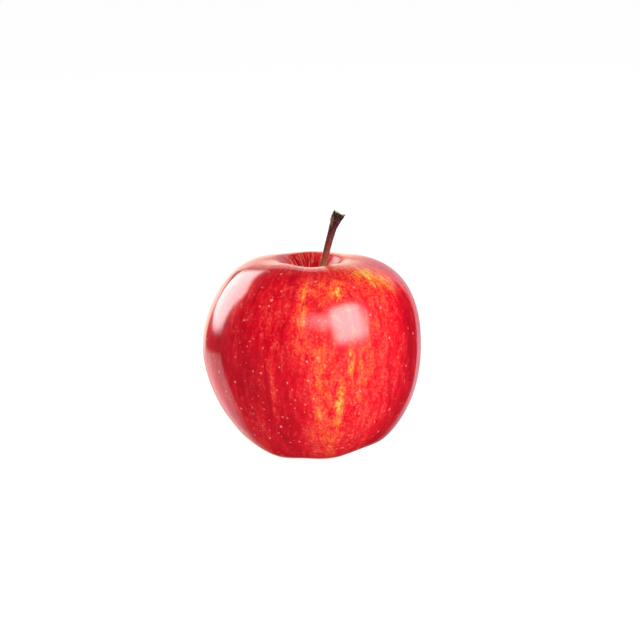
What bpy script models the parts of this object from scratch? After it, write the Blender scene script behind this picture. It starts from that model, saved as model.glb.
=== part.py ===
"""An eating apple, standing on its base: the fruit, its woody stem, and the dried flower in its eye.

World frame: metres, +Z up, Z = 0 at the spots it rests on, origin under the middle of its box.
The fruit is a turned outline whose crown, cheeks and base then rise and fall in lobes. The stem
stands in a socket at the bottom of the upper hollow. The flower's remains hang in the lower one.
"""

import math

import bmesh
import bpy
from mathutils import Vector

MM = 0.001

# Fruit, measured from its core line and from the plane it stands on
CHEEK_RADIUS = 37.5 * MM
CHEEK_HEIGHT = 38.1 * MM
HEIGHT = 67.3 * MM
CROWN_RADIUS = 13.8 * MM
FOOT_RADIUS = 12.0 * MM

# How far each stretch of the outline runs on straight before it turns: larger is fuller
CROWN_FULLNESS = 15.6 * MM
SHOULDER_FULLNESS = 15.0 * MM
FLANK_FULLNESS = 20.5 * MM
FOOT_FULLNESS = 12.1 * MM

# Upper hollow, with the stem's socket at its bottom
HOLLOW_DEPTH = 15.5 * MM
HOLLOW_FLOOR_RADIUS = 2.2 * MM
HOLLOW_LIP = 6.0 * MM
HOLLOW_THROAT = 4.0 * MM
SOCKET_DEPTH = 3.5 * MM

# Lower hollow, with the flower's tube at its bottom
EYE_DEPTH = 9.0 * MM
EYE_FLOOR_RADIUS = 3.3 * MM
EYE_LIP = 5.0 * MM
EYE_FLOOR_SWEEP = 3.3 * MM
TUBE_RADIUS = 2.4 * MM
TUBE_DEPTH = 5.0 * MM

# Lobes: (how many round the fruit, height, direction in which one of them points, degrees)
CROWN_LOBES = ((2, 0.25 * MM, 0.0), (5, 0.2 * MM, 18.0))
SHOULDER_LOBES = ((1, 1.1 * MM, 0.0),)
CHEEK_LOBES = ((5, 0.3 * MM, 0.0), (3, 0.4 * MM, 60.0))
FLANK_LOBES = ((1, 1.5 * MM, 0.0),)
FOOT_LOBES = ((5, 0.25 * MM, 6.0), (2, 0.25 * MM, 45.0))
EYE_FOLDS = ((10, 0.22 * MM, 0.0),)
REST_SPOT_DEPTH = 0.4 * MM

# Stem: (offset along X, along Y, height above the hollow's floor, radius) at points along it
STEM_ROOT_RADIUS = 1.1 * MM
STEM_ROUTE = (
    (0.3 * MM, 0.0 * MM, 2.5 * MM, 1.08 * MM),
    (1.8 * MM, 0.2 * MM, 7.8 * MM, 1.03 * MM),
    (4.1 * MM, 0.4 * MM, 14.2 * MM, 1.05 * MM),
    (6.0 * MM, 0.4 * MM, 21.8 * MM, 1.18 * MM),
    (7.6 * MM, 0.3 * MM, 27.0 * MM, 1.45 * MM),
    (9.1 * MM, 0.2 * MM, 30.6 * MM, 1.95 * MM),
    (9.8 * MM, 0.2 * MM, 32.0 * MM, 1.90 * MM),
)

# Sepals: (distance out from the root, drop below the root, half width) at points along one
SEPALS = 5
SEPAL_THICKNESS = 0.5 * MM
SEPAL_SHAPE = (
    (0.0 * MM, 0.0 * MM, 1.3 * MM),
    (-0.5 * MM, 1.2 * MM, 1.45 * MM),
    (0.0 * MM, 2.5 * MM, 1.4 * MM),
    (1.2 * MM, 3.2 * MM, 1.0 * MM),
    (2.3 * MM, 3.1 * MM, 0.45 * MM),
    (2.8 * MM, 2.6 * MM, 0.2 * MM),
)

# Stamens and style: slender dried threads that hang from the tube's end
STAMENS = 10
STAMEN_RADIUS = 0.2 * MM
ANTHER_RADIUS = 0.33 * MM
STAMEN_LENGTH = 5.2 * MM
STYLE_RADIUS = 0.35 * MM
STYLE_LENGTH = 6.2 * MM

# Gap kept between pieces that touch, and how finely each is divided
GAP = 0.3 * MM
SIDES_ROUND_FRUIT = 60
STEPS_PER_STRETCH = 12
STEPS_PER_SPAN = 3


def finish(name, colour, roughness):
    """A Principled material; colour is linear RGB."""
    material = bpy.data.materials.new(name)
    material.use_nodes = True
    shader = material.node_tree.nodes["Principled BSDF"]
    shader.inputs["Base Color"].default_value = (*colour, 1.0)
    shader.inputs["Roughness"].default_value = roughness
    shader.inputs["Metallic"].default_value = 0.0
    material.diffuse_color = (*colour, 1.0)
    return material


def add_object(name, bm, material, parent):
    """Closes off a bmesh as a smooth-shaded object under the apple's empty."""
    bmesh.ops.recalc_face_normals(bm, faces=bm.faces)
    mesh = bpy.data.meshes.new(name)
    bm.to_mesh(mesh)
    bm.free()
    mesh.shade_smooth()
    mesh.materials.append(material)
    piece = bpy.data.objects.new(name, mesh)
    bpy.context.collection.objects.link(piece)
    piece.parent = parent
    return piece


def bezier(start, leave, arrive, end, steps):
    """Points from start up to, but not including, end on one cubic Bezier."""
    points = []
    for i in range(steps):
        t = i / steps
        u = 1.0 - t
        points.append(u**3 * start + 3 * u * u * t * leave + 3 * u * t * t * arrive + t**3 * end)
    return points


def smooth_route(stops, steps):
    """Points on a curve that passes through every stop, with any number of values per stop."""
    ends = [2 * stops[0] - stops[1], *stops, 2 * stops[-1] - stops[-2]]
    points = []
    for i in range(1, len(stops)):
        before, start, end, after = ends[i - 1 : i + 3]
        points += bezier(start, start + (end - before) / 6, end - (after - start) / 6, end, steps)
    return [*points, stops[-1]]


def lobes(waves, direction):
    """Height of a set of lobes in one direction round the fruit."""
    return sum(h * math.cos(n * (direction - math.radians(a))) for n, h, a in waves)


def highest_lobe(waves):
    """Height of a set of lobes where they all stand highest."""
    return sum(h for _, h, _ in waves)


def fade(station, centre, before, after):
    """1 at a station of the outline, falling smoothly to 0 on both sides."""
    reach = before if station < centre else after
    share = min(abs(station - centre) / reach, 1.0)
    return (1.0 - share * share) ** 2


def outline():
    """The fruit's half section as (radius, height, station), from the socket to the tube.

    Station 0 is the upper hollow's floor, 1 the crown, 2 the cheek, 3 the foot, 4 the eye's floor.
    """
    floor = HEIGHT - HOLLOW_DEPTH
    knots = (
        ((HOLLOW_FLOOR_RADIUS, floor), (0, HOLLOW_THROAT), (0, 0)),
        ((CROWN_RADIUS, HEIGHT), (CROWN_FULLNESS, 0), (-HOLLOW_LIP, 0)),
        ((CHEEK_RADIUS, CHEEK_HEIGHT), (0, -FLANK_FULLNESS), (0, SHOULDER_FULLNESS)),
        ((FOOT_RADIUS, 0), (-EYE_LIP, 0), (FOOT_FULLNESS, 0)),
        ((EYE_FLOOR_RADIUS, EYE_DEPTH), (0, 0), (EYE_FLOOR_SWEEP, 0)),
    )
    socket_radius = STEM_ROOT_RADIUS + GAP
    points = [
        (0.0, floor - SOCKET_DEPTH, 0.0),
        (socket_radius, floor - SOCKET_DEPTH, 0.0),
        (socket_radius, floor - 0.2 * SOCKET_DEPTH, 0.0),
    ]
    for stretch, (first, second) in enumerate(zip(knots, knots[1:], strict=False)):
        start, end = Vector(first[0]), Vector(second[0])
        leave, arrive = start + Vector(first[1]), end + Vector(second[2])
        for i, point in enumerate(bezier(start, leave, arrive, end, STEPS_PER_STRETCH)):
            points.append((*point, stretch + i / STEPS_PER_STRETCH))
    tube_end = EYE_DEPTH + TUBE_DEPTH
    points += [
        (EYE_FLOOR_RADIUS, EYE_DEPTH, 4.0),
        (TUBE_RADIUS, EYE_DEPTH + 0.1 * TUBE_DEPTH, 4.0),
        (TUBE_RADIUS, tube_end - 0.1 * TUBE_DEPTH, 4.0),
        (0.0, tube_end, 4.0),
    ]
    return points


def raise_lobes(radius, height, station, direction):
    """Moves one point of the turned outline to its place on the lobed fruit."""
    swell = lobes(CHEEK_LOBES, direction) * fade(station, 2.0, 1.0, 1.1)
    swell += lobes(SHOULDER_LOBES, direction) * fade(station, 1.4, 0.5, 0.6)
    swell += lobes(FLANK_LOBES, direction) * fade(station, 2.6, 0.6, 0.5)
    radius += swell * radius / CHEEK_RADIUS
    height += lobes(CROWN_LOBES, direction) * fade(station, 1.0, 0.8, 0.9)
    height += (highest_lobe(FOOT_LOBES) - lobes(FOOT_LOBES, direction)) * fade(station, 3.0, 0.75, 0.8)
    height += lobes(EYE_FOLDS, direction) * fade(station, 3.6, 0.35, 0.3)
    height -= REST_SPOT_DEPTH * fade(station, 3.0, 0.5, 0.5)
    return radius, max(height, 0.0)


def make_fruit(material, parent):
    """Turns the outline into a closed skin, then gives it its lobes and its flat rest spots."""
    bm = bmesh.new()
    station_layer = bm.verts.layers.float.new("station")
    half_section = []
    for radius, height, station in outline():
        vert = bm.verts.new((radius, 0.0, height))
        vert[station_layer] = station
        half_section.append(vert)
    edges = [bm.edges.new(pair) for pair in zip(half_section, half_section[1:], strict=False)]
    bmesh.ops.spin(
        bm,
        geom=half_section + edges,
        axis=(0, 0, 1),
        cent=(0, 0, 0),
        angle=math.tau,
        steps=SIDES_ROUND_FRUIT,
    )
    bmesh.ops.remove_doubles(bm, verts=bm.verts, dist=0.01 * MM)
    for vert in bm.verts:
        radius = math.hypot(vert.co.x, vert.co.y)
        direction = math.atan2(vert.co.y, vert.co.x)
        radius, height = raise_lobes(radius, vert.co.z, vert[station_layer], direction)
        vert.co = (radius * math.cos(direction), radius * math.sin(direction), height)
    return add_object("fruit", bm, material, parent)


def loft(rings):
    """A closed body through a row of rings, with a flat cap on each end."""
    bm = bmesh.new()
    rows = [[bm.verts.new(point) for point in ring] for ring in rings]
    for low, high in zip(rows, rows[1:], strict=False):
        for i, corner in enumerate(low):
            bm.faces.new((low[i - 1], corner, high[i], high[i - 1]))
    bm.faces.new(rows[0])
    bm.faces.new(rows[-1])
    return bm


def ring(centre, side, front, half_side, half_front, corners):
    """Corners of an ellipse across a stem, thread or blade."""
    turns = [math.tau * i / corners for i in range(corners)]
    return [centre + side * half_side * math.cos(a) + front * half_front * math.sin(a) for a in turns]


def swept(stops, side, half_front, corners, steps):
    """Rings along a route of (x, y, z, half width) stops; side lies across the whole route."""
    route = smooth_route([Vector(stop) for stop in stops], steps)
    rings = []
    for i, stop in enumerate(route):
        centre = stop.xyz
        ahead = route[min(i + 1, len(route) - 1)].xyz - route[max(i - 1, 0)].xyz
        front = side.cross(ahead).normalized()
        half_side = stop.w
        rings.append(ring(centre, side, front, half_side, half_front or half_side, corners))
    return rings


def make_stem(material, parent):
    """The stem: upright in its socket, then leaning and flaring to its broken-off end."""
    floor = HEIGHT - HOLLOW_DEPTH
    stops = [
        (0.0, 0.0, floor - SOCKET_DEPTH + GAP, STEM_ROOT_RADIUS),
        (0.0, 0.0, floor - 0.2 * SOCKET_DEPTH, STEM_ROOT_RADIUS),
    ]
    stops += [(x, y, floor + rise, radius) for x, y, rise, radius in STEM_ROUTE]
    rings = swept(stops, Vector((0, 1, 0)), None, 12, STEPS_PER_SPAN)
    return add_object("stem", loft(rings), material, parent)


def make_sepal(number, material, parent):
    """One dried sepal, rooted beside the tube's mouth and curling out under the eye's floor."""
    root_radius = TUBE_RADIUS + GAP + SEPAL_THICKNESS
    root_height = EYE_DEPTH - GAP - SEPAL_THICKNESS
    room = 2 * math.pi * (root_radius - SEPAL_THICKNESS) / SEPALS - GAP
    direction = math.tau * (number - 0.5) / SEPALS + math.radians(FOOT_LOBES[0][2])
    out = Vector((math.cos(direction), math.sin(direction), 0))
    across = Vector((-math.sin(direction), math.cos(direction), 0))
    stops = []
    for away, drop, half_width in SEPAL_SHAPE:
        place = out * (root_radius + away)
        half = min(half_width, room / 2)
        stops.append((place.x, place.y, root_height - drop, half))
    rings = swept(stops, across, SEPAL_THICKNESS / 2, 6, STEPS_PER_SPAN)
    return add_object(f"sepal_{number}", loft(rings), material, parent)


def make_thread(name, away, direction, length, radius, tip_radius, material, parent):
    """A stamen or the style: a thread from near the tube's end down to a small knob."""
    top = EYE_DEPTH + TUBE_DEPTH * 0.9 - GAP
    place = Vector((away * math.cos(direction), away * math.sin(direction), 0))
    shape = ((0.0, radius), (0.45, radius), (0.85, radius), (0.93, tip_radius), (1.0, radius))
    stops = [(place.x, place.y, top - share * length, half) for share, half in shape]
    side = Vector((-math.sin(direction), math.cos(direction), 0))
    rings = swept(stops, side, None, 6, 1)
    return add_object(name, loft(rings), material, parent)


def make_flower(thread_finish, parent):
    """The style in the middle of the tube, with the stamens round it."""
    make_thread("style", 0.0, 0.0, STYLE_LENGTH, STYLE_RADIUS, STYLE_RADIUS, thread_finish, parent)
    away = TUBE_RADIUS - GAP - ANTHER_RADIUS
    for i in range(STAMENS):
        direction = math.tau * i / STAMENS
        name = f"stamen_{i + 1:02d}"
        make_thread(
            name, away, direction, STAMEN_LENGTH, STAMEN_RADIUS, ANTHER_RADIUS, thread_finish, parent
        )


def centre_on_origin(parent, fruit):
    """Moves the whole apple so that the origin is under the middle of the fruit's box."""
    for axis in (0, 1):
        places = [vert.co[axis] for vert in fruit.data.vertices]
        parent.location[axis] = -(min(places) + max(places)) / 2


for old in list(bpy.data.objects):
    bpy.data.objects.remove(old)

apple = bpy.data.objects.new("apple_frame", None)
bpy.context.collection.objects.link(apple)

skin = finish("fruit_skin", (0.62, 0.022, 0.024), 0.3)
wood = finish("stem_wood", (0.13, 0.035, 0.02), 0.7)
leaf = finish("sepal_dry", (0.22, 0.15, 0.08), 0.85)
thread = finish("stamen_dry", (0.12, 0.06, 0.03), 0.85)

whole_fruit = make_fruit(skin, apple)
make_stem(wood, apple)
for sepal_number in range(1, SEPALS + 1):
    make_sepal(sepal_number, leaf, apple)
make_flower(thread, apple)
centre_on_origin(apple, whole_fruit)
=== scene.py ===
"""An eating apple standing on a pale table: streaked waxy fruit, woody stem, dried flower in its eye."""

import math

import bmesh
import bpy
import numpy as np
from mathutils import Matrix, Vector, noise


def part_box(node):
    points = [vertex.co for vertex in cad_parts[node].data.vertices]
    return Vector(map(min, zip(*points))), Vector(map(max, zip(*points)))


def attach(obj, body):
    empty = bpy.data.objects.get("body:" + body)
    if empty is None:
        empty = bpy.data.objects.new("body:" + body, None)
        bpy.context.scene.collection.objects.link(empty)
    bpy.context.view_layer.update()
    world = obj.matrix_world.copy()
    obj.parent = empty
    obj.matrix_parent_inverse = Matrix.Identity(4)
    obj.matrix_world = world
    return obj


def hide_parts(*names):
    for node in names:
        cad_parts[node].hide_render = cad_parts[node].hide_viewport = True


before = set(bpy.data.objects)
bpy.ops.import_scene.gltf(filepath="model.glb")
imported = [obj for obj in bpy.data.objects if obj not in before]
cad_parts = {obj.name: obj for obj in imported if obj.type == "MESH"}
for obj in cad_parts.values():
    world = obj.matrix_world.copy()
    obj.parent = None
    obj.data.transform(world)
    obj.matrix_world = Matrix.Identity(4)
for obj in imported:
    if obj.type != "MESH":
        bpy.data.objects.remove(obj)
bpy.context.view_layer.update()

MM = 0.001

# ---------------------------------------------------------------------------------------------------
# Fruit: skin
# One closed skin over the whole grown fruit. A half section is turned round the core, then crown,
# shoulders, cheeks and base swell into lobes, and the skin draws into pleats round the eye.
# ---------------------------------------------------------------------------------------------------

HEIGHT = 67.3 * MM
HOLLOW_DEPTH = 15.5 * MM
EYE_DEPTH = 9.0 * MM
TUBE_RADIUS = 2.4 * MM
TUBE_DEPTH = 5.0 * MM
CHEEK_RADIUS = 37.5 * MM
HOLLOW_FLOOR = HEIGHT - HOLLOW_DEPTH

# Corners of the half section: (radius, height), handle towards the next, handle towards the last
KNOTS = (
    ((2.2 * MM, HOLLOW_FLOOR), (0, 4.0 * MM), (0, 0)),
    ((13.8 * MM, HEIGHT), (15.6 * MM, 0), (-6.0 * MM, 0)),
    ((CHEEK_RADIUS, 38.1 * MM), (0, -20.5 * MM), (0, 15.0 * MM)),
    ((12.0 * MM, 0), (-5.0 * MM, 0), (12.1 * MM, 0)),
    ((3.3 * MM, EYE_DEPTH), (0, 0), (3.3 * MM, 0)),
)
# How the section closes over the stem's socket: (radius, depth under the hollow's floor)
SOCKET = ((0.0, 0.8 * MM), (1.0 * MM, 0.7 * MM), (1.8 * MM, 0.45 * MM))
# How it goes on up the flower's tube: (radius, height above the eye)
TUBE = (
    (3.3 * MM, 0.0),
    (2.9 * MM, 0.1 * MM),
    (2.6 * MM, 0.3 * MM),
    (TUBE_RADIUS, 0.7 * MM),
    (TUBE_RADIUS, 0.9 * TUBE_DEPTH),
    (0.7 * TUBE_RADIUS, TUBE_DEPTH),
    (0.0, TUBE_DEPTH),
)
ROWS_PER_STRETCH = (44, 76, 92, 44)
SIDES = 336

# A station is a place along the section: 0 at the hollow's floor, 1 on the crown, 2 on the cheek, 3 on
# the foot and 4 at the eye. Lobes: name, how many round, height, direction of one in degrees, what
# moves, station, reach each way
LOBES = (
    ("Crown Pair", 2, 0.25 * MM, 0.0, "height", 1.0, 0.8, 0.9),
    ("Crown Lean", 1, 0.45 * MM, 90.0, "height", 1.0, 0.8, 0.8),
    ("Crown Lobes", 5, 0.2 * MM, 18.0, "height", 1.0, 0.8, 0.9),
    ("Shoulder Lean", 1, 1.1 * MM, 0.0, "radius", 1.4, 0.5, 0.6),
    ("Cheek Lobes", 5, 0.3 * MM, 0.0, "radius", 2.0, 1.0, 1.1),
    ("Cheek Corners", 3, 0.4 * MM, 60.0, "radius", 2.0, 1.0, 1.1),
    ("Flank Lean", 1, 1.5 * MM, 0.0, "radius", 2.6, 0.6, 0.5),
    ("Foot Lobes", 5, -0.25 * MM, 6.0, "height", 3.0, 0.75, 0.8),
    ("Foot Pair", 2, -0.25 * MM, 45.0, "height", 3.0, 0.75, 0.8),
    ("Eye Folds", 10, 0.22 * MM, 0.0, "height", 3.6, 0.35, 0.3),
)
# What else shapes it, and where: a size, then its station and its reach each way
FOOT_RISE = 0.5 * MM
FOOT_PLACE = (3.0, 0.75, 0.8)
REST_SPOT_DEPTH = 0.4 * MM
REST_SPOT_PLACE = (3.0, 0.5, 0.5)
PLEAT_DEPTH = 1.8 * MM
PLEAT_PLACE = (3.66, 0.42, 0.33)
UNEVENNESS = 0.9 * MM
UNEVEN_PLACE = (1.9, 1.3, 1.2)
# Where the foot is drawn in beside a lobe, or swells: (direction from +X in degrees, station, rise)
FOOT_DENTS = (
    (-25.0, 2.86, 0.8 * MM),
    (-20.0, 2.62, -0.5 * MM),
    (118.0, 2.84, 0.6 * MM),
    (200.0, 2.82, 0.4 * MM),
)
DENT_NARROWNESS = 12.0
DENT_REACH = 0.24
SEAM_GAP = 0.001 * MM


class Wire:
    """A value on its way through a node tree; arithmetic on it adds Math nodes."""

    def __init__(self, tree, socket):
        self.tree = tree
        self.socket = socket

    def math(self, operation, *others):
        return self.tree.add("ShaderNodeMath", {"operation": operation}, [self, *others])

    def __add__(self, other):
        return self.math("ADD", other)

    __radd__ = __add__

    def __sub__(self, other):
        return self.math("SUBTRACT", other)

    def __rsub__(self, other):
        return self.tree.add("ShaderNodeMath", {"operation": "SUBTRACT"}, [other, self])

    def __mul__(self, other):
        return self.math("MULTIPLY", other)

    __rmul__ = __mul__

    def __truediv__(self, other):
        return self.math("DIVIDE", other)

    def __pow__(self, other):
        return self.math("POWER", other)


class Tree:
    """Adds nodes to a shader or geometry tree: a type, its settings, then its sockets' values or wires."""

    def __init__(self, node_tree):
        self.nodes = node_tree.nodes
        self.links = node_tree.links

    def add(self, kind, settings=None, sockets=None, output=0):
        node = self.nodes.new(kind)
        for name, value in (settings or {}).items():
            if name == "stops":
                self.set_stops(node.color_ramp, value)
            else:
                setattr(node, name, value)
        pairs = sockets.items() if isinstance(sockets, dict) else enumerate(sockets or ())
        for key, value in pairs:
            self.feed(node.inputs[key], value)
        return Wire(self, node.outputs[output])

    def feed(self, socket, value):
        if isinstance(value, Wire):
            self.links.new(value.socket, socket)
        else:
            socket.default_value = value

    def set_stops(self, ramp, stops):
        while len(ramp.elements) < len(stops):
            ramp.elements.new(1.0)
        for element, (place, level) in zip(ramp.elements, stops, strict=True):
            element.position = place
            element.color = tint(level)

    def vector(self, x, y, z):
        return self.add("ShaderNodeCombineXYZ", None, [x, y, z])

    def parts(self, vector):
        split = self.add("ShaderNodeSeparateXYZ", None, [vector])
        return [Wire(self, socket) for socket in split.socket.node.outputs]

    def stretched(self, vector, x, y, z):
        return self.add("ShaderNodeVectorMath", {"operation": "MULTIPLY"}, [vector, (x, y, z)])

    def noise(self, vector, scale=1.0, detail=2.0, roughness=0.5, output=0):
        sockets = {"Vector": vector, "Scale": scale, "Detail": detail, "Roughness": roughness}
        return self.add("ShaderNodeTexNoise", None, sockets, output)

    def drawn_out(self, vector, round_it, along_it, detail, roughness):
        """Noise stretched along the third axis: how fine it is round the piece, then along it."""
        return self.noise(self.stretched(vector, round_it, round_it, along_it), 1.0, detail, roughness)

    def plus(self, vector, share, amount):
        """A vector with a share of an amount added to it, axis by axis."""
        return self.add("ShaderNodeVectorMath", {"operation": "MULTIPLY_ADD"}, [share, amount, vector])

    def solid(self):
        """The piece's own coordinates, in metres."""
        return self.add("ShaderNodeTexCoord", None, None, "Object")

    def stored(self, name, output="Fac"):
        """A value that the mesh carries."""
        return self.add("ShaderNodeAttribute", {"attribute_name": name}, None, output)

    def between(self, value, low, high):
        """0 where a value is at low, 1 where it is at high, eased in between."""
        settings = {"interpolation_type": "SMOOTHSTEP"}
        sockets = {"Value": value, "From Min": low, "From Max": high}
        return self.add("ShaderNodeMapRange", settings, sockets)

    def blend(self, share, first, second):
        """A colour on its way from the first to the second."""
        return self.add("ShaderNodeMix", {"data_type": "RGBA"}, {0: share, 6: first, 7: second}, 2)

    def ramp(self, value, stops):
        """The colour that a value reaches along a row of (place, display colour)."""
        return self.add("ShaderNodeValToRGB", {"stops": stops}, [value])

    def bump(self, strength, distance, height):
        sockets = {"Strength": strength, "Distance": distance, "Height": height}
        return self.add("ShaderNodeBump", None, sockets)


def half_section():
    """The half section as rows of (radius, height, station, length along the skin)."""
    rows = []
    for stretch, steps in enumerate(ROWS_PER_STRETCH):
        start, end = Vector(KNOTS[stretch][0]), Vector(KNOTS[stretch + 1][0])
        leave, arrive = start + Vector(KNOTS[stretch][1]), end + Vector(KNOTS[stretch + 1][2])
        for i in range(steps):
            t = i / steps
            u = 1.0 - t
            place = u**3 * start + 3 * u * u * t * leave + 3 * u * t * t * arrive + t**3 * end
            rows.append((place.x, place.y, stretch + t))
    socket = [(radius, HOLLOW_FLOOR - depth, 0.0) for radius, depth in SOCKET]
    tube = [(radius, EYE_DEPTH + height, float(len(ROWS_PER_STRETCH))) for radius, height in TUBE]
    rows = [*socket, *rows, *tube]
    length = 0.0
    lengths = [0.0]
    for last, now in zip(rows, rows[1:], strict=False):
        length += math.dist(last[:2], now[:2])
        lengths.append(length)
    return [(*row, along) for row, along in zip(rows, lengths, strict=True)]


def in_scene(name, data):
    """A new object in the scene with its data."""
    piece = bpy.data.objects.new(name, data)
    bpy.context.collection.objects.link(piece)
    return piece


def section_object():
    """The half section as a chain of points that carry their station and length along the skin."""
    rows = half_section()
    mesh = bpy.data.meshes.new("fruit")
    points = [(radius, 0.0, height) for radius, height, _, _ in rows]
    mesh.from_pydata(points, [(i, i + 1) for i in range(len(rows) - 1)], [])
    for name, column in (("station", 2), ("along", 3)):
        layer = mesh.attributes.new(name, "FLOAT", "POINT")
        layer.data.foreach_set("value", [row[column] for row in rows])
    return in_scene("fruit_skin", mesh)


def open_group(name, inputs):
    """A geometry tree with a named input for each size, its helper, and its inputs by name."""
    group = bpy.data.node_groups.new(name, "GeometryNodeTree")
    group.interface.new_socket("Geometry", in_out="INPUT", socket_type="NodeSocketGeometry")
    for label, value in inputs.items():
        kind = "NodeSocketInt" if isinstance(value, int) else "NodeSocketFloat"
        if isinstance(value, bpy.types.Material):
            kind = "NodeSocketMaterial"
        group.interface.new_socket(label, in_out="INPUT", socket_type=kind)
    group.interface.new_socket("Geometry", in_out="OUTPUT", socket_type="NodeSocketGeometry")
    tree = Tree(group)
    given = group.nodes.new("NodeGroupInput")
    return group, tree, {socket.name: Wire(tree, socket) for socket in given.outputs if socket.name}


def close_group(group, tree, geometry, finish):
    """Ends a geometry tree: its instances made real, in one material, at its output."""
    geometry = tree.add("GeometryNodeRealizeInstances", None, [geometry])
    geometry = tree.add("GeometryNodeSetMaterial", None, {"Geometry": geometry, "Material": finish})
    tree.feed(group.nodes.new("NodeGroupOutput").inputs[0], geometry)
    return group


def run_geometry(piece, group, inputs):
    """Gives a piece a geometry tree, sets its inputs, and keeps the result as its plain mesh."""
    modifier = piece.modifiers.new(group.name, "NODES")
    modifier.node_group = group
    for item in group.interface.items_tree:
        if item.in_out == "INPUT" and item.name in inputs:
            modifier[item.identifier] = inputs[item.name]
    graph = bpy.context.evaluated_depsgraph_get()
    mesh = bpy.data.meshes.new_from_object(piece.evaluated_get(graph), depsgraph=graph)
    piece.modifiers.remove(modifier)
    piece.data = mesh
    return piece


def fruit_group(inputs):
    """Turns a half section into the lobed fruit."""
    group, tree, size = open_group("turned_fruit", inputs)
    section = size["Geometry"]
    rows = tree.add("GeometryNodeAttributeDomainSize", {"component": "MESH"}, [section])
    grid_sockets = {"Size X": 1.0, "Size Y": 1.0, "Vertices X": size["Sides"] + 1, "Vertices Y": rows}
    grid = tree.add("GeometryNodeMeshGrid", None, grid_sockets)
    chart = Wire(tree, grid.socket.node.outputs["UV Map"])
    across, up, _ = tree.parts(tree.add("GeometryNodeInputPosition"))
    turn = (across + 0.5) * math.tau
    row = ((up + 0.5) * (rows - 1)).math("ROUND")

    def sampled(kind, value):
        sockets = {"Geometry": section, "Value": value, "Index": row}
        return tree.add("GeometryNodeSampleIndex", {"data_type": kind, "domain": "POINT"}, sockets)

    def carried(name):
        value = tree.add("GeometryNodeInputNamedAttribute", {"data_type": "FLOAT"}, {"Name": name})
        return sampled("FLOAT", value)

    radius, _, height = tree.parts(sampled("FLOAT_VECTOR", tree.add("GeometryNodeInputPosition")))
    station, along = carried("station"), carried("along")
    cosine, sine = turn.math("COSINE"), turn.math("SINE")

    def fade(centre, before, after):
        offset = station - centre
        share = (offset / after).math("MAXIMUM", offset / -before).math("MINIMUM", 1.0)
        return (1 - share * share) ** 2

    swell = 0.0
    rise = size["Foot Rise"] * fade(*FOOT_PLACE) - size["Rest Spot"] * fade(*REST_SPOT_PLACE)
    for name, count, _, direction, moves, centre, before, after in LOBES:
        wave = ((turn - math.radians(direction)) * count).math("COSINE")
        lobe = size[name] * wave * fade(centre, before, after)
        if moves == "radius":
            swell = lobe + swell
        else:
            rise = rise + lobe

    round_place = tree.vector(cosine, sine, along / CHEEK_RADIUS)
    for direction, centre, depth in FOOT_DENTS:
        aside = (turn - math.radians(direction)).math("COSINE") - 1
        near = (aside * DENT_NARROWNESS).math("EXPONENT") * fade(centre, DENT_REACH, DENT_REACH)
        rise = rise + near * (size["Foot Dents"] * depth)
    pleats = tree.noise(tree.stretched(round_place, 5.0, 5.0, 0.8), 1.0, 1.5) - 0.5
    rise = rise + size["Pleats"] * pleats * fade(*PLEAT_PLACE)
    flutes = tree.noise(tree.stretched(round_place, 3.2, 3.2, 0.9), 1.0, 1.0) - 0.5
    swell = swell + size["Unevenness"] * flutes * fade(*UNEVEN_PLACE)
    full_radius = radius + swell * radius / CHEEK_RADIUS
    full_height = (height + rise).math("MAXIMUM", 0.0)
    place = tree.vector(full_radius * cosine, full_radius * sine, full_height)

    def storing(geometry, name, kind, domain, value):
        settings = {"data_type": kind, "domain": domain}
        sockets = {"Geometry": geometry, "Name": name, "Value": value}
        return tree.add("GeometryNodeStoreNamedAttribute", settings, sockets)

    skin = storing(grid, "OFBake", "FLOAT2", "CORNER", chart)
    skin = storing(skin, "round", "FLOAT_VECTOR", "POINT", round_place)
    skin = storing(skin, "station", "FLOAT", "POINT", station)
    skin = tree.add("GeometryNodeSetPosition", None, {"Geometry": skin, "Position": place})
    skin = tree.add("GeometryNodeMergeByDistance", None, {"Geometry": skin, "Distance": SEAM_GAP})
    skin = tree.add("GeometryNodeFlipFaces", None, {"Mesh": skin})
    skin = tree.add("GeometryNodeSetShadeSmooth", None, {"Geometry": skin})
    return close_group(group, tree, skin, size["Finish"])


def tint(level):
    """A display colour from 0 to 255 as the opaque linear colour that a shader works in."""
    parts = (((c / 255 + 0.055) / 1.055) ** 2.4 if c > 10 else c / 255 / 12.92 for c in level)
    return (*parts, 1.0)


def new_finish(name, **constants):
    """A Principled material and its tree, with the numbers that are the same all over set on it."""
    material = bpy.data.materials.new(name)
    material.use_nodes = True
    shader = material.node_tree.nodes["Principled BSDF"]
    for label, value in constants.items():
        shader.inputs[label.replace("_", " ")].default_value = value
    return material, Tree(material.node_tree), shader


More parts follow.
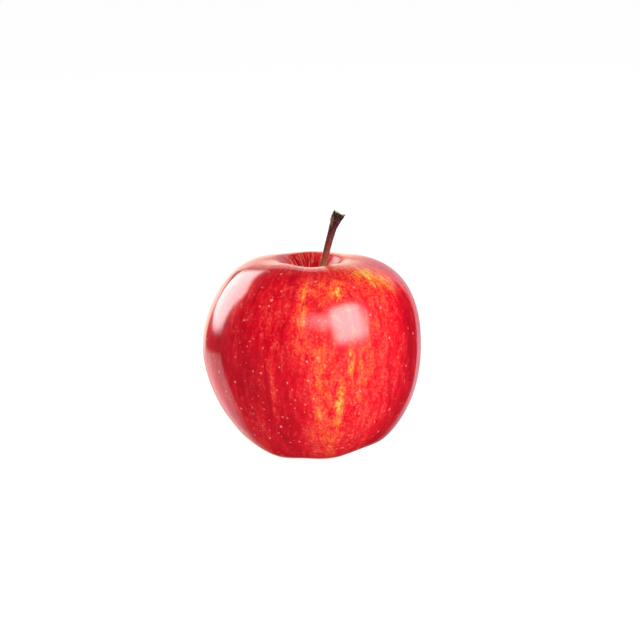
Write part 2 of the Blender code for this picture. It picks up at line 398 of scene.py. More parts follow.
# Where more or less of the ground colour shows through the blush:
# (direction from the front towards the right in degrees, station, half width, half length, amount)
FLUSHES = (
    # In the hollow
    (0, 0.50, 180, 0.35, -0.12),
    # On the crown, from left to right
    (-50, 0.96, 50, 0.13, 0.30),
    (-16, 1.20, 8, 0.16, -0.12),
    (34, 0.94, 48, 0.17, 0.40),
    # On the shoulder and the cheek
    (-80, 1.90, 22, 0.60, 0.14),
    (-66, 1.95, 10, 0.14, -0.10),
    (-50, 1.52, 9, 0.16, 0.20),
    (-22, 1.64, 12, 0.26, 0.13),
    (-6, 1.44, 3.5, 0.24, 0.28),
    (-6, 1.78, 5, 0.22, 0.22),
    (4, 1.42, 9, 0.22, 0.26),
    (12, 1.34, 7, 0.12, 0.12),
    (17, 1.44, 5, 0.14, 0.36),
    (20, 1.95, 2.2, 0.12, 0.24),
    (24, 1.72, 26, 0.20, 0.10),
    (28, 1.30, 12, 0.16, 0.18),
    (45, 1.52, 5, 0.10, 0.18),
    (47, 1.27, 12, 0.14, 0.44),
    (60, 1.40, 8, 0.12, 0.34),
    (66, 1.85, 9, 0.30, -0.22),
    # Below the cheek
    (-42, 2.55, 20, 0.25, 0.08),
    (-21, 2.14, 1.3, 0.18, 0.36),
    (-14, 2.50, 7, 0.30, -0.10),
    (4, 2.32, 6, 0.32, 0.19),
    (4, 2.02, 9, 0.20, 0.14),
    (12, 2.62, 9, 0.24, 0.20),
    (15, 2.24, 3.0, 0.13, 0.34),
    (26, 2.20, 20, 0.45, 0.08),
    (28, 2.04, 10, 0.18, 0.14),
    (62, 2.42, 18, 0.38, -0.19),
    # Round the sides and the back
    (108, 2.10, 7, 0.50, 0.22),
    (120, 1.30, 24, 0.30, 0.34),
    (150, 0.95, 70, 0.14, 0.26),
    (150, 1.75, 12, 0.60, 0.30),
    (172, 1.25, 18, 0.30, 0.40),
    (196, 2.10, 9, 0.60, 0.28),
    (216, 1.50, 10, 0.40, 0.20),
    (238, 2.40, 12, 0.40, 0.16),
    # Round the eye
    (60, 3.60, 14, 0.30, 0.20),
    (135, 3.30, 60, 0.40, 0.36),
    (150, 3.75, 70, 0.30, 0.30),
    (240, 3.50, 12, 0.40, 0.18),
    (330, 3.65, 60, 0.25, 0.26),
)
BLUSH_LEVEL = 0.27
BLUSH_TURN = 0.11
BLUSH_WARMEST = 62.0

# Markings drawn out down the skin: how fine round it, how fine along it, detail, roughness
BANDS = (7.0, 1.8, 3.0, 0.55)
STREAKS = (19.0, 4.6, 5.0, 0.66)
THREADS = (70.0, 8.0, 3.0, 0.6)
RAYS = (24.0, 1.4, 4.0, 0.75)
# Markings alike every way: how many in a metre, detail, roughness
BLOTCHES = (330.0, 4.0, 0.6)
MOTTLE = (1300.0, 3.0, 0.7)
SPECKLE = (950.0, 4.0, 0.75)
BLUSH = (140.0, 3.0, 0.6)
WAVER = (180.0, 2.0, 0.5)
WAVER_AMOUNT = (0.07, 0.07, 0.05)
DOT_WAVER = (0.002, 0.002, 0.002)

# The skin from its deepest crimson to its ground colour
SKIN_COLOURS = (
    (0.0, (160, 0, 22)),
    (0.18, (192, 2, 28)),
    (0.38, (222, 8, 34)),
    (0.54, (233, 32, 36)),
    (0.68, (242, 84, 40)),
    (0.82, (247, 140, 46)),
    (0.98, (252, 200, 92)),
)
FLECK_PINK = (246, 104, 92)
HAIRLINE_CREAM = (252, 186, 148)
RUSSET_BROWN = (150, 104, 52)
DOT_PINK = (253, 150, 130)


def paint_flush(mesh):
    """Stores how far the ground colour shows at each point of the skin, from 0 to 1."""
    count = len(mesh.vertices)
    places = np.empty(count * 3)
    mesh.attributes["round"].data.foreach_get("vector", places)
    stations = np.empty(count)
    mesh.attributes["station"].data.foreach_get("value", stations)
    places = places.reshape(-1, 3)
    directions = np.degrees(np.arctan2(places[:, 1], places[:, 0])) + 90.0
    amount = BLUSH_LEVEL + BLUSH_TURN * np.cos(np.radians(directions - BLUSH_WARMEST))
    for direction, station, half_width, half_length, change in FLUSHES:
        aside = (directions - direction + 180.0) % 360.0 - 180.0
        away = (aside / half_width) ** 2 + ((stations - station) / half_length) ** 2
        amount += change * np.exp(-away)
    layer = mesh.attributes.new("flush", "FLOAT", "POINT")
    layer.data.foreach_set("value", np.clip(amount, 0.0, 1.0))


def fruit_finish():
    """Waxy skin: crimson over yellow in broken streaks and mottling, with pale dots."""
    material, tree, shader = new_finish(
        "fruit_skin",
        IOR=1.45,
        Subsurface_Weight=0.05,
        Subsurface_Scale=0.001,
        Subsurface_Radius=(5.0, 1.0, 0.6),
        Specular_IOR_Level=0.12,
        Coat_Roughness=0.07,
        Coat_IOR=1.5,
    )
    station, flush = tree.stored("station"), tree.stored("flush")
    solid = tree.solid()
    waver = tree.noise(solid, *WAVER, "Color")
    place = tree.plus(tree.stored("round", "Vector"), waver, WAVER_AMOUNT)

    # How ripe each spot looks: its flush, broken up by every marking
    bands = tree.drawn_out(place, *BANDS) - 0.5
    streaks = tree.drawn_out(place, *STREAKS) - 0.5
    threads = tree.drawn_out(place, *THREADS) - 0.5
    rays = tree.drawn_out(place, *RAYS)
    blotches = tree.noise(solid, *BLOTCHES) - 0.5
    mottle = tree.noise(solid, *MOTTLE) - 0.5
    crown = 1 - tree.between(station, 0.95, 1.75)
    ripeness = flush + bands * 0.36 + streaks * (0.22 + flush) + threads * 0.14
    ripeness = ripeness + (rays - 0.5) * crown * 0.5
    ripeness = ripeness + blotches * (flush * 1.15 + 0.05) + mottle * (flush * 1.2 + 0.03)
    colour = tree.ramp(ripeness, SKIN_COLOURS)

    # Pink flecks where it is flushed, pale hairlines down the hollow, russet at the stem and the eye
    flecks = tree.between(tree.noise(solid, *SPECKLE) + streaks * 0.35, 0.44, 0.64)
    blush = tree.noise(solid, *BLUSH)
    flecks = flecks * tree.between(flush + blush * 0.4 + streaks * 0.9, 0.42, 0.72)
    colour = tree.blend(flecks * 0.42, colour, tint(FLECK_PINK))
    throat = 1 - tree.between(station, 0.9, 1.3)
    hairlines = tree.between(rays, 0.53, 0.63) * throat
    colour = tree.blend(hairlines * 0.48, colour, tint(HAIRLINE_CREAM))
    russet = 1 - tree.between(station + blotches * 0.5, 0.02, 0.32)
    russet = russet + tree.between(station + blotches * 0.6, 3.7, 3.98) * 0.8
    colour = tree.blend(russet * 0.8, colour, tint(RUSSET_BROWN))

    def dots(cells, size, softness, share):
        """Pale dots, one near the middle of some of the cells."""
        ragged = tree.plus(solid, waver, DOT_WAVER)
        sockets = {"Vector": ragged, "Scale": cells, "Randomness": 1.0}
        cell = tree.add("ShaderNodeTexVoronoi", {"distance": "EUCLIDEAN"}, sockets, "Distance")
        pick, growth, _ = tree.parts(Wire(tree, cell.socket.node.outputs["Color"]))
        reach = size * cells * (0.55 + 0.45 * growth)
        dot = 1 - tree.between(cell, reach * (1 - softness), reach * (1 + softness))
        return dot * tree.between(pick, 1 - share, 1 - share + 0.05)

    low = tree.between(station, 1.1, 2.8)
    large = dots(330.0, 0.44 * MM, 0.5, 0.5)
    small = dots(500.0, 0.32 * MM, 0.5, 0.62) * (0.3 + 0.7 * low)
    dot = large.math("MAXIMUM", small * 0.9)
    colour = tree.blend(dot * 0.85, colour, tint(DOT_PINK))
    tree.feed(shader.inputs["Base Color"], colour)

    wax = tree.noise(solid, 260.0, 2.0)
    tree.feed(shader.inputs["Roughness"], 0.24 + 0.1 * wax + dot * 0.12)
    dull = 1 - tree.between(station, 0.64, 0.98)
    tree.feed(shader.inputs["Coat Weight"], 1.0 - dot * 0.15 - dull * 0.78)
    peel = tree.noise(solid, 900.0, 2.0) * 0.7 + threads * 0.2 + rays * throat * 3.0 + dot * 0.15
    tree.feed(shader.inputs["Normal"], tree.bump(0.12, 0.05 * MM, peel))
    return material


skin_finish = fruit_finish()
fruit_inputs = {name: height for name, _, height, *_ in LOBES}
fruit_inputs |= {
    "Sides": SIDES,
    "Foot Rise": FOOT_RISE,
    "Rest Spot": REST_SPOT_DEPTH,
    "Foot Dents": 1.0,
    "Pleats": PLEAT_DEPTH,
    "Unevenness": UNEVENNESS,
    "Finish": skin_finish,
}
fruit = run_geometry(section_object(), fruit_group(fruit_inputs), fruit_inputs)
paint_flush(fruit.data)

# The core stands where the CAD fruit has it: under the middle of its box
cad_fruit_low, cad_fruit_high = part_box("fruit")
fruit_points = np.array([vertex.co for vertex in fruit.data.vertices])
core = (cad_fruit_low + cad_fruit_high) / 2
core -= Vector((fruit_points.min(0) + fruit_points.max(0)) / 2)
core.z = 0.0
fruit.data.transform(Matrix.Translation(core))
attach(fruit, "root")
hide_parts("fruit")

# ---------------------------------------------------------------------------------------------------
# Stem
# The woody stalk that the fruit hung by. It swells where it joins the flesh, leans to one side, and
# ends in a knob that tore off the spur, with two tips left standing and pale fibres between them.
# ---------------------------------------------------------------------------------------------------

# Middle of the stem and its radius: right of the core, behind it, above the hollow's floor, radius
STEM_ROUTE = (
    (0.0 * MM, 0.0 * MM, -1.2 * MM, 2.0 * MM),
    (0.0 * MM, 0.0 * MM, 0.2 * MM, 1.75 * MM),
    (0.3 * MM, 0.0 * MM, 2.5 * MM, 1.08 * MM),
    (1.8 * MM, 0.2 * MM, 7.8 * MM, 1.0 * MM),
    (4.1 * MM, 0.4 * MM, 14.2 * MM, 1.02 * MM),
    (6.0 * MM, 0.4 * MM, 21.8 * MM, 1.14 * MM),
    (7.5 * MM, 0.3 * MM, 26.8 * MM, 1.42 * MM),
    (8.7 * MM, 0.2 * MM, 29.9 * MM, 1.95 * MM),
    (9.2 * MM, 0.2 * MM, 31.0 * MM, 2.0 * MM),
)
STEM_SIDES = 56
STEPS_BETWEEN_STOPS = 14
# Ridges that wind up the bark: how many round, how they wind, height as a share of the radius
WRINKLES = ((3, 2.2, 0.045), (5, -3.1, 0.04), (8, 5.0, 0.035), (13, -7.0, 0.025), (21, 9.0, 0.018))
# Rings that buds left: place as a share of the length, width, height as a share of the radius
BUD_SCARS = ((0.47, 0.012, 0.09), (0.5, 0.008, 0.05), (0.8, 0.015, 0.07))
# Tips of the torn end: turn round the stem from its outer side in degrees, half width, height
TORN_TIPS = (
    (6.0, 30.0, 0.6 * MM),
    (180.0, 52.0, 0.6 * MM),
    (95.0, 22.0, 0.2 * MM),
    (275.0, 26.0, 0.2 * MM),
)
# How the last rings follow the tips, the end one first: share of the height, then outwards
TIP_PULLS = ((1.0, 0.25), (0.7, 0.12), (0.4, 0.04))
# Rings of the torn end: share of the knob's radius, how far it sinks in millimetres
TORN_ROWS = ((0.97, 0.1), (0.86, -0.35), (0.7, -0.55), (0.52, -0.6), (0.34, -0.55), (0.16, -0.5))
# The bark from its root to its knob, and the fibres of the torn end
BARK_COLOURS = (
    (0.0, (140, 108, 56)),
    (0.4, (152, 92, 50)),
    (0.52, (132, 54, 42)),
    (0.66, (112, 34, 36)),
    (0.80, (72, 20, 24)),
    (0.92, (30, 12, 12)),
)
BARK_LENGTH = 32.0 * MM
BARK_GRAIN = (1900.0, 300.0, 4.0, 0.65)
SPECK_PINK = (200, 140, 120)
FLAKE_TAN = (168, 104, 86)
# Pale tan of the painted highlight on the knob's left side
KNOB_HIGHLIGHT_TAN = (178, 118, 92)
FIBRE_COLOURS = ((112, 84, 40), (222, 214, 150))
# Painted highlight on the knob: its left side is painted pale tan where the lamps catch it. How far right it
# reaches, its edge, and where it begins
KNOB_HIGHLIGHT_REACH = 7.2 * MM
KNOB_HIGHLIGHT_EDGE = 2.0 * MM
KNOB_HIGHLIGHT_START = (HOLLOW_FLOOR + 26.0 * MM, HOLLOW_FLOOR + 29.0 * MM)


def smooth_route(stops, steps):
    """Points along a curve through the stops, as many steps between each two."""
    ends = [stops[0], *stops, stops[-1]]
    points = []
    for i in range(len(stops) - 1):
        last, start, end, after = (np.array(stop) for stop in ends[i : i + 4])
        for t in np.arange(steps) / steps:
            curve = 2 * start + (end - last) * t + (2 * last - 5 * start + 4 * end - after) * t**2
            points.append((curve + (3 * start - last - 3 * end + after) * t**3) / 2)
    return [*points, np.array(stops[-1])]


def closed_tube(name, rings, tip_last):
    """A piece from rings of points, each joined to the next, with both ends closed to a point."""
    sides = len(rings[0])
    points = [sum(rings[0], Vector()) / sides, *(point for ring in rings for point in ring), tip_last]
    faces = []
    for j in range(sides):
        following = (j + 1) % sides
        faces.append((0, 1 + following, 1 + j))
        for i in range(len(rings) - 1):
            low, high = 1 + i * sides, 1 + (i + 1) * sides
            faces.append((low + j, low + following, high + following, high + j))
        top = 1 + (len(rings) - 1) * sides
        faces.append((top + j, top + following, len(points) - 1))
    mesh = bpy.data.meshes.new(name)
    mesh.from_pydata([tuple(point) for point in points], [], faces)
    mesh.shade_smooth()
    return in_scene(name, mesh)


def stem_piece():
    """The stem: wrinkled rings along its route, then the torn end drawn in to its middle."""
    route = smooth_route(STEM_ROUTE, STEPS_BETWEEN_STOPS)
    turns = np.arange(STEM_SIDES) * math.tau / STEM_SIDES
    rings = []
    for i, (x, y, above, radius) in enumerate(route):
        before, after = route[max(i - 1, 0)], route[min(i + 1, len(route) - 1)]
        along = Vector((after - before)[:3]).normalized()
        across = along.cross(Vector((0.0, 1.0, 0.0))).normalized() * -1
        aside = along.cross(across)
        share = i / (len(route) - 1)
        middle = Vector((x, y, HOLLOW_FLOOR + above)) + core
        swell = sum(rise * math.exp(-(((share - at) / width) ** 2)) for at, width, rise in BUD_SCARS)
        ring = []
        for turn in turns:
            winds = (rise * math.cos(count * turn + wind * share * 6.0) for count, wind, rise in WRINKLES)
            relief = sum(winds)
            grain = noise.noise(Vector((math.cos(turn) * 2.2, math.sin(turn) * 2.2, share * 26.0)))
            reach = radius * (1 + relief + swell + 0.07 * grain)
            ring.append(middle + (across * math.cos(turn) + aside * math.sin(turn)) * reach)
        rings.append(ring)
    lifts = []
    for turn in np.degrees(turns):
        lift = 0.0
        for at, width, height in TORN_TIPS:
            lift += height * math.exp(-((((turn - at + 180) % 360 - 180) / width) ** 2))
        lifts.append(lift)
    for j, lift in enumerate(lifts):
        outward = (rings[-1][j] - middle).normalized()
        for back, (rise, flare) in enumerate(TIP_PULLS, start=1):
            rings[-back][j] += along * (lift * rise) + outward * (lift * flare)
    bark_rings = len(rings)
    for share, sink in TORN_ROWS:
        ring = []
        for j, turn in enumerate(turns):
            ragged = noise.noise(Vector((math.cos(turn) * 3.4, math.sin(turn) * 3.4, share * 9.0)))
            height = lifts[j] * share**4 + (sink * 0.9 + 0.45 * ragged) * MM * (1 - share * 0.6)
            edge = rings[bark_rings - 1][j] - middle - along * lifts[j]
            ring.append(middle + edge * share + along * height)
        rings.append(ring)
    piece = closed_tube("stem_wood", rings, middle - along * 0.4 * MM)
    torn = piece.data.attributes.new("torn", "FLOAT", "POINT")
    flags = [0.0] * (1 + bark_rings * STEM_SIDES) + [1.0] * (len(TORN_ROWS) * STEM_SIDES + 1)
    torn.data.foreach_set("value", flags)
    return piece


def stem_finish():
    """Bark that darkens from ochre at the root through maroon to near black, pale where it tore, with a
    painted pale tan highlight on the knob's left side.
    """
    material, tree, shader = new_finish("stem_wood", IOR=1.45, Specular_IOR_Level=0.25)
    solid, torn = tree.solid(), tree.stored("torn")
    across, _, height = tree.parts(solid)
    grain = tree.drawn_out(solid, *BARK_GRAIN)
    patches = tree.noise(solid, 420.0, 3.0, 0.6)
    age = (height - HOLLOW_FLOOR) / BARK_LENGTH + (patches - 0.5) * 0.3 + (grain - 0.5) * 0.35
    bark = tree.ramp(age, BARK_COLOURS)
    specks = tree.between(tree.noise(solid, 2100.0, 2.0, 0.6), 0.6, 0.7)
    flakes = tree.between(grain + patches * 0.6, 0.86, 0.98)
    bark = tree.blend(specks * 0.45, bark, tint(SPECK_PINK))
    bark = tree.blend(flakes * 0.4, bark, tint(FLAKE_TAN))
    # Painted highlight: the knob's left side, up from a given height, is blended towards pale tan
    past_knob_highlight = (across - KNOB_HIGHLIGHT_REACH) / KNOB_HIGHLIGHT_EDGE + (grain - 0.5) * 1.6
    knob_highlight = (1 - tree.between(past_knob_highlight, -0.35, 0.1)) * tree.between(height, *KNOB_HIGHLIGHT_START)
    bark = tree.blend(knob_highlight * 0.75, bark, tint(KNOB_HIGHLIGHT_TAN))
    fibres = tree.noise(solid, 2600.0, 3.0, 0.7)
    fibre_dark, fibre_pale = FIBRE_COLOURS
    pale = tree.blend(fibres, tint(fibre_dark), tint(fibre_pale))
    tree.feed(shader.inputs["Base Color"], tree.blend(torn, bark, pale))
    tree.feed(shader.inputs["Roughness"], 0.5 + 0.25 * grain + 0.2 * torn)
    tree.feed(shader.inputs["Normal"], tree.bump(0.5, 0.12 * MM, grain + specks * 0.4))
    return material


stem = stem_piece()
stem.data.materials.append(stem_finish())
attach(stem, "root")
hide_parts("stem")

# ---------------------------------------------------------------------------------------------------
# Sepals
# Five dried leaf tips that closed over the flower and stay in the eye of the fruit. They are brown,
# brittle and curled, with a grey down, and stand on the rim of the flower tube.
# ---------------------------------------------------------------------------------------------------

SEPAL_ROOT_RADIUS = TUBE_RADIUS + 0.8 * MM
SEPAL_ROOT_HEIGHT = EYE_DEPTH - 0.6 * MM
# Midline of one sepal from its root: away from the core, drop, half width
SEPAL_SHAPE = (
    (0.0, -0.4 * MM, 1.7 * MM),
    (-0.5 * MM, 1.1 * MM, 1.8 * MM),
    (-0.1 * MM, 2.4 * MM, 1.6 * MM),
    (1.2 * MM, 3.3 * MM, 1.15 * MM),
    (2.4 * MM, 3.1 * MM, 0.6 * MM),
    (2.9 * MM, 2.4 * MM, 0.12 * MM),
)
# How each one differs: its spread away from the core and its length, as shares, and its lean sideways
SEPAL_HABITS = (
    (1.0, 1.05, 0.3 * MM),
    (0.5, 1.15, -0.5 * MM),
    (1.05, 1.15, 0.4 * MM),
    (0.15, 0.95, 0.2 * MM),
    (0.75, 1.2, -0.6 * MM),
)
SEPALS = len(SEPAL_HABITS)
FIRST_SEPAL = math.radians(6.0)
SEPAL_ACROSS = 12
SEPAL_STEPS = 6
SEPAL_CRUMPLE = 0.55 * MM
SEPAL_TWIST = 1.1 * MM
SEPAL_THICKNESS = 0.22 * MM
LEAF_COLOURS = (
    (0.3, (64, 48, 30)),
    (0.45, (112, 90, 56)),
    (0.6, (150, 130, 88)),
    (0.75, (186, 172, 128)),
)
DOWN_GREY = (226, 220, 198)
DOWN_PER_SQUARE_METRE = 9.0e6
DOWN_RADIUS = 0.03 * MM
DOWN_LENGTH = 0.75 * MM


def sepals_piece():
    """All five blades, each crumpled in its own way, folded along its midrib and curled at the edge."""
    points, faces = [], []
    for number, (spread, reach, lean) in enumerate(SEPAL_HABITS):
        direction = math.tau * (number + 0.5) / SEPALS + FIRST_SEPAL
        away = Vector((math.cos(direction), math.sin(direction), 0.0))
        aside = Vector((-away.y, away.x, 0.0))
        first = len(points)
        midline = smooth_route(SEPAL_SHAPE, SEPAL_STEPS)
        for i, (out, drop, half_width) in enumerate(midline):
            share = i / (len(midline) - 1)
            for j in range(SEPAL_ACROSS + 1):
                side = 2 * j / SEPAL_ACROSS - 1
                seed = Vector((side * 1.3, share * 3.0, number * 7.1))
                crumple = noise.noise(seed * 1.4) * SEPAL_CRUMPLE * (0.3 + share)
                twist = noise.noise(Vector((number * 5.3, share * 1.5, 0.0))) * SEPAL_TWIST * share
                fold = (abs(side) ** 1.5) * (0.5 + 0.3 * math.sin(number * 2.1)) * half_width
                ragged = 1 + 0.12 * noise.noise(seed * 5.0)
                height = SEPAL_ROOT_HEIGHT - drop * reach + fold * 0.35 + crumple * 0.5
                place = core + away * (SEPAL_ROOT_RADIUS + out * spread + crumple - fold * 0.7)
                place += aside * (side * half_width * ragged + twist + lean * share)
                points.append(place + Vector((0.0, 0.0, height)))
        for i in range(len(midline) - 1):
            for j in range(SEPAL_ACROSS):
                corner = first + i * (SEPAL_ACROSS + 1) + j
                faces.append((corner, corner + 1, corner + SEPAL_ACROSS + 2, corner + SEPAL_ACROSS + 1))
    mesh = bpy.data.meshes.new("sepals")
    mesh.from_pydata([tuple(point) for point in points], [], faces)
    mesh.shade_smooth()
    return in_scene("sepals_dry", mesh)


def sepal_finish():
    """Dry leaf: olive brown, darker and paler along its veins."""
    material, tree, shader = new_finish("sepal_dry", IOR=1.45)
    veins = tree.drawn_out(tree.solid(), 1500.0, 500.0, 4.0, 0.6)
    tree.feed(shader.inputs["Base Color"], tree.ramp(veins, LEAF_COLOURS))
    tree.feed(shader.inputs["Roughness"], 0.7 + 0.15 * veins)
    tree.feed(shader.inputs["Normal"], tree.bump(0.6, 0.12 * MM, veins))
    return material


def down_group(inputs):
    """Sparse short hairs standing off a surface, each a narrow four-sided spike."""
    group, tree, size = open_group("sepal_down", inputs)
    sockets = {"Mesh": size["Geometry"], "Density": size["Density"], "Seed": 7}
    spread = tree.add("GeometryNodeDistributePointsOnFaces", None, sockets)
    standing = Wire(tree, spread.socket.node.outputs["Rotation"])
    hair_sockets = {"Vertices": 4, "Radius Top": 0.0, "Radius Bottom": size["Radius"]}
    hair_sockets["Depth"] = size["Length"]
    hair = tree.add("GeometryNodeMeshCone", {"fill_type": "NONE"}, hair_sockets)
    lean_sockets = {0: (-0.9, -0.9, 0.0), 1: (0.9, 0.9, 6.28), "Seed": 3}
    lean = tree.add("FunctionNodeRandomValue", {"data_type": "FLOAT_VECTOR"}, lean_sockets)
    turned = tree.add("FunctionNodeRotateRotation", {"rotation_space": "LOCAL"}, [standing, lean])
    length = tree.add("FunctionNodeRandomValue", {"data_type": "FLOAT"}, {2: 0.5, 3: 1.2, "Seed": 5}, 1)
    sockets = {"Points": spread, "Instance": hair, "Rotation": turned, "Scale": length}
    hairs = tree.add("GeometryNodeInstanceOnPoints", None, sockets)
    return close_group(group, tree, hairs, size["Finish"])


sepals = sepals_piece()
sepals.data.materials.append(sepal_finish())
down_finish, _, _ = new_finish("sepal_down", Base_Color=tint(DOWN_GREY), Roughness=0.8)
down_inputs = {
    "Density": DOWN_PER_SQUARE_METRE,
    "Radius": DOWN_RADIUS,
    "Length": DOWN_LENGTH,
    "Finish": down_finish,
}
down = in_scene("sepal_down", sepals.data.copy())
down = run_geometry(down, down_group(down_inputs), down_inputs)
thickness = sepals.modifiers.new("thickness", "SOLIDIFY")
thickness.thickness = SEPAL_THICKNESS
thickness.offset = 0.0
for piece in (sepals, down):
    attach(piece, "root")
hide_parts(*(f"sepal_{number}" for number in range(1, SEPALS + 1)))

# ---------------------------------------------------------------------------------------------------
# Stamens and style
# What is left of the flower inside its tube: ten withered threads with their anthers round the wall,
# and the style's five strands in the middle. All of it is dry, dark and a little crooked.
# ---------------------------------------------------------------------------------------------------

STAMENS = 10
STAMEN_CIRCLE = TUBE_RADIUS - 0.63 * MM
STAMEN_TOP = EYE_DEPTH + TUBE_DEPTH - 0.8 * MM
STAMEN_LENGTH = 5.2 * MM
STAMEN_BEND = 0.14 * MM
THREAD_RADIUS = 0.11 * MM
ANTHER_RADIUS = 0.3 * MM
# How far round a wave a thread goes from its root to its anther, sideways and outwards, in radians
BEND_WAVES = (5.0, 4.0)
STYLE_STRANDS = 5
STYLE_RADIUS = 0.16 * MM
STYLE_SIDES = 7
# One strand from its root to its tip: away from the core, height
STYLE_ROUTE = (
    (0.1 * MM, 13.2 * MM),
    (0.16 * MM, 11.0 * MM),
    (0.22 * MM, 9.2 * MM),
    (0.5 * MM, 7.8 * MM),
    (0.9 * MM, 7.0 * MM),
)
WITHERED_BROWNS = ((40, 28, 18), (128, 98, 58))


def stamen_group(inputs):
    """Bent threads standing in a ring, each with an anther at its free end."""
    group, tree, size = open_group("stamens", inputs)
    bend, length = size["Bend"], size["Length"]
    side_wave, out_wave = BEND_WAVES
    ring = tree.add("GeometryNodeMeshCircle", None, {"Vertices": size["Count"], "Radius": size["Circle"]})
    line_sockets = {"Start": (0.0, 0.0, 0.0), "End": tree.vector(0.0, 0.0, -1 * length)}
    line = tree.add("GeometryNodeCurvePrimitiveLine", None, line_sockets)
    line = tree.add("GeometryNodeResampleCurve", None, {"Curve": line, "Count": 7})
    along = tree.add("GeometryNodeSplineParameter")
    sideways = bend * (along * side_wave).math("SINE")
    outwards = bend * (along * out_wave).math("COSINE")
    waves = {"Geometry": line, "Offset": tree.vector(sideways, outwards, 0.0)}
    line = tree.add("GeometryNodeSetPosition", None, waves)
    profile = tree.add("GeometryNodeCurvePrimitiveCircle", None, {"Resolution": 6, "Radius": size["Thread"]})
    thread = tree.add("GeometryNodeCurveToMesh", None, {0: line, 1: profile, "Fill Caps": True})
    anther = tree.add("GeometryNodeMeshIcoSphere", None, {"Radius": size["Anther"], "Subdivisions": 2})
    end = tree.vector(bend * math.sin(side_wave), bend * math.cos(out_wave), -1 * length)
    move_sockets = {"Geometry": anther, "Translation": end, "Scale": (0.8, 0.8, 1.3)}
    anther = tree.add("GeometryNodeTransform", None, move_sockets)
    stamen = tree.add("GeometryNodeJoinGeometry", None, [thread])
    tree.feed(stamen.socket.node.inputs[0], anther)
    lean_sockets = {0: (-0.06, -0.06, 0.0), 1: (0.06, 0.06, 6.28), "Seed": 11}
    lean = tree.add("FunctionNodeRandomValue", {"data_type": "FLOAT_VECTOR"}, lean_sockets)
    growth = tree.add("FunctionNodeRandomValue", {"data_type": "FLOAT"}, {2: 0.82, 3: 1.0, "Seed": 5}, 1)
    sockets = {"Points": ring, "Instance": stamen, "Rotation": lean, "Scale": growth}
    stamens = tree.add("GeometryNodeInstanceOnPoints", None, sockets)
    place = tree.vector(core.x, core.y, size["Top"])
    stamens = tree.add("GeometryNodeTransform", None, {"Geometry": stamens, "Translation": place})
    return close_group(group, tree, stamens, size["Finish"])


def style_piece():
    """Five thin strands that start together and part towards their tips."""
    strands = bmesh.new()
    turns = [math.tau * side / STYLE_SIDES for side in range(STYLE_SIDES)]
    rim = [Vector((math.cos(turn), -math.sin(turn), 0.0)) * STYLE_RADIUS for turn in turns]
    for number in range(STYLE_STRANDS):
        direction = math.tau * number / STYLE_STRANDS
        rings = []
        for out, height in STYLE_ROUTE:
            middle = core + Vector((math.cos(direction) * out, math.sin(direction) * out, height))
            rings.append([middle + corner for corner in rim])
        strand = closed_tube("strand", rings, middle - Vector((0.0, 0.0, 0.15 * MM)))
        strands.from_mesh(strand.data)
        bpy.data.objects.remove(strand)
    mesh = bpy.data.meshes.new("style")
    strands.to_mesh(mesh)
    strands.free()
    mesh.shade_smooth()
    return in_scene("style_dry", mesh)


def stamen_finish():
    """Withered flower: dark brown, a little lighter where it is dusty."""
    material, tree, shader = new_finish("stamen_dry", IOR=1.45)
    dust = tree.noise(tree.solid(), 2200.0, 3.0, 0.6)
    dark, dusty = WITHERED_BROWNS
    tree.feed(shader.inputs["Base Color"], tree.blend(dust, tint(dark), tint(dusty)))
    tree.feed(shader.inputs["Roughness"], 0.65 + 0.2 * dust)
    return material


withered = stamen_finish()
stamen_inputs = {
    "Count": STAMENS,
    "Circle": STAMEN_CIRCLE,
    "Top": STAMEN_TOP,
    "Length": STAMEN_LENGTH,
    "Bend": STAMEN_BEND,
    "Thread": THREAD_RADIUS,
    "Anther": ANTHER_RADIUS,
    "Finish": withered,
}
stamens = in_scene("stamens_dry", bpy.data.meshes.new("stamens"))
stamens = run_geometry(stamens, stamen_group(stamen_inputs), stamen_inputs)
style = style_piece()
style.data.materials.append(withered)
for piece in (stamens, style):
    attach(piece, "root")
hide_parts(*(f"stamen_{number:02d}" for number in range(1, STAMENS + 1)))
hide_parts("style")

# ---------------------------------------------------------------------------------------------------
# Stage: table, softboxes, room and camera
# A pale table under soft studio light: a large box to the front right with a weaker one in front, one
# behind the left shoulder, and fill from the left and above. The room is dark but for its far side.
# ---------------------------------------------------------------------------------------------------

APPLE_MIDDLE = Vector((0.0, 0.0, 0.034))
CARD_SOFTNESS = 0.12
# The light that the skin mirrors comes from just behind the light that is cast, so neither shades
# the other
SHINE_GAP = 0.05
TABLE_HALF = 20.0
# Just under the rest spots, so that the two flats don't share a plane
TABLE_LEVEL = -0.02 * MM


def towards(azimuth, elevation):
    """A direction: azimuth in degrees from straight behind the apple towards its right."""
    around, up = math.radians(azimuth), math.radians(elevation)
    return Vector((math.sin(around) * math.cos(up), math.cos(around) * math.cos(up), math.sin(up)))


def softbox(name, azimuth, elevation, distance, width, height, spread, radiance):
    """A rectangular light that faces the apple: its place and size, how its light spreads, how bright.

    It fades over a share of itself at its edges, can be brighter towards its left by a slope, and can
    have its lower right corner hidden by a card, from a share across and at a slant.
    """
    soft_edge, slope, card = spread
    light = bpy.data.lights.new(name, "AREA")
    light.shape = "RECTANGLE"
    light.size = width
    light.size_y = height
    light.energy = radiance * math.pi * width * height
    light.use_nodes = True
    tree = Tree(light.node_tree)
    across, up, _ = tree.parts(tree.add("ShaderNodeNewGeometry", None, None, "Parametric"))
    fade = 1.0
    for place in (across, up):
        edge = 0.5 - (place - 0.5).math("ABSOLUTE")
        fade = tree.between(edge, 0.0, soft_edge) * fade
    if slope:
        fade = fade * (1 + slope * (across - 0.5))
    if card:
        hidden, slant = card
        fade = fade * tree.between(across + slant * up - hidden, 0.0, CARD_SOFTNESS)
    tree.feed(light.node_tree.nodes["Emission"].inputs["Strength"], fade)
    lamp = in_scene(name, light)
    direction = towards(azimuth, elevation)
    lamp.location = APPLE_MIDDLE + direction * distance
    lamp.rotation_euler = direction.to_track_quat("Z", "Y").to_euler()
    return lamp


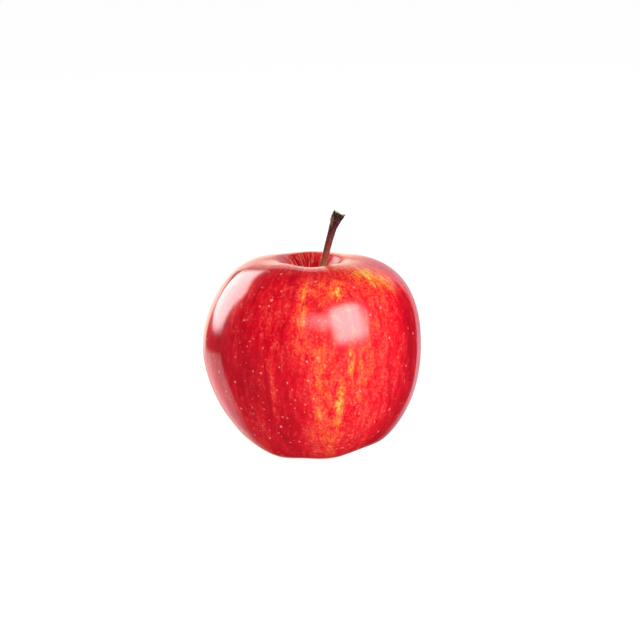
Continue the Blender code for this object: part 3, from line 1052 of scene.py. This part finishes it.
# name, azimuth, elevation, distance, width, height, (soft edge, slope, card), radiance where the skin
# mirrors it, radiance of the light that it casts
SOFTBOXES = (
    ("front_right", 139.0, 30.0, 1.1, 0.99, 1.24, (0.26, 0, None), 9.6, 6.6),
    ("front", 176.0, 34.0, 1.1, 1.15, 0.62, (0.5, 0, None), 5.4, 3.2),
    ("back_left", -45.0, 23.0, 1.2, 1.18, 1.06, (0.2, 0.6, (0.62, 1.37)), 4.9, 3.9),
    ("left", -88.0, 12.0, 1.2, 1.2, 1.2, (0.5, 0, None), 0.0, 2.2),
    ("top", -30.0, 78.0, 1.2, 1.2, 1.2, (0.5, 0, None), 0.0, 1.1),
)
for name, azimuth, elevation, distance, width, height, spread, mirrored, cast in SOFTBOXES:
    shape = (width, height, spread)
    lamp = softbox(name + "_softbox", azimuth, elevation, distance, *shape, cast)
    lamp.visible_glossy = False
    if mirrored:
        shine = softbox(name + "_shine", azimuth, elevation, distance + SHINE_GAP, *shape, mirrored)
        shine.visible_diffuse = False

table_mesh = bpy.data.meshes.new("table")
corner_signs = ((-1, -1), (1, -1), (1, 1), (-1, 1))
corners = [(x * TABLE_HALF, y * TABLE_HALF, TABLE_LEVEL) for x, y in corner_signs]
table_mesh.from_pydata(corners, [], [(0, 1, 2, 3)])
table = in_scene("table", table_mesh)
table_finish, _, _ = new_finish(
    "pale_table",
    Base_Color=(0.12, 0.12, 0.12, 1.0),
    Roughness=1.0,
    Specular_IOR_Level=0.0,
    Emission_Color=(1.0, 1.0, 1.0, 1.0),
    Emission_Strength=0.98,
)
table_mesh.materials.append(table_finish)
table.visible_glossy = False

# Bright parts of the room that the skin mirrors at its rim: azimuth from and to, how soft each end
# is, the same for elevation, all in degrees, then the radiance as a colour
ROOM_PATCHES = (
    ((-67, -20), (3, 2), (-36, -11), (12, 2), (1.35, 0.9, 0.92)),
    ((-36, -17), (3, 2), (-11, 8), (2, 3), (1.7, 1.28, 1.08)),
    ((-75, -36), (5, 3), (-11, 8), (2, 4), (0.55, 0.02, 0.03)),
    ((-17, 2), (2, 8), (-30, 20), (10, 3), (1.7, 1.28, 1.08)),
    ((2, 31), (8, 3), (-26, 20), (10, 3), (0.7, 0.48, 0.54)),
    ((-16, 40), (4, 10), (20, 34), (3, 3), (0.85, 0.62, 0.58)),
)
ROOM_DARK = (0.012, 0.008, 0.008)
world = bpy.data.worlds.new("studio")
world.use_nodes = True
room = Tree(world.node_tree)
east, north, upward = room.parts(room.add("ShaderNodeTexCoord", None, None, "Generated"))
azimuth = east.math("ARCTAN2", north) * math.degrees(1.0)
elevation = upward.math("ARCSINE") * math.degrees(1.0)
room_light = ROOM_DARK
for sweep, sweep_softness, rise, rise_softness, radiance in ROOM_PATCHES:
    patch = 1.0
    for angle, (low, high), (soft_low, soft_high) in (
        (azimuth, sweep, sweep_softness),
        (elevation, rise, rise_softness),
    ):
        patch = room.between(angle, low - soft_low, low + soft_low) * patch
        patch = patch * (1 - room.between(angle, high - soft_high, high + soft_high))
    room_light = room.plus(room_light, patch, radiance)
background = world.node_tree.nodes["Background"]
room.feed(background.inputs["Color"], room_light)
bpy.context.scene.world = world
bpy.context.scene.view_settings.view_transform = "Standard"

CAMERA_ELEVATION = math.radians(10.0)
CAMERA_DISTANCE = 0.9
CAMERA_AIM = Vector((0.0028, 0.0, 0.0460))
lens = bpy.data.cameras.new("camera")
lens.lens = 147.5
lens.sensor_width = 36.0
camera = in_scene("camera", lens)
backwards = Vector((0.0, -math.cos(CAMERA_ELEVATION), math.sin(CAMERA_ELEVATION)))
camera.location = CAMERA_AIM + backwards * CAMERA_DISTANCE
camera.rotation_euler = backwards.to_track_quat("Z", "Y").to_euler()
bpy.context.scene.camera = camera
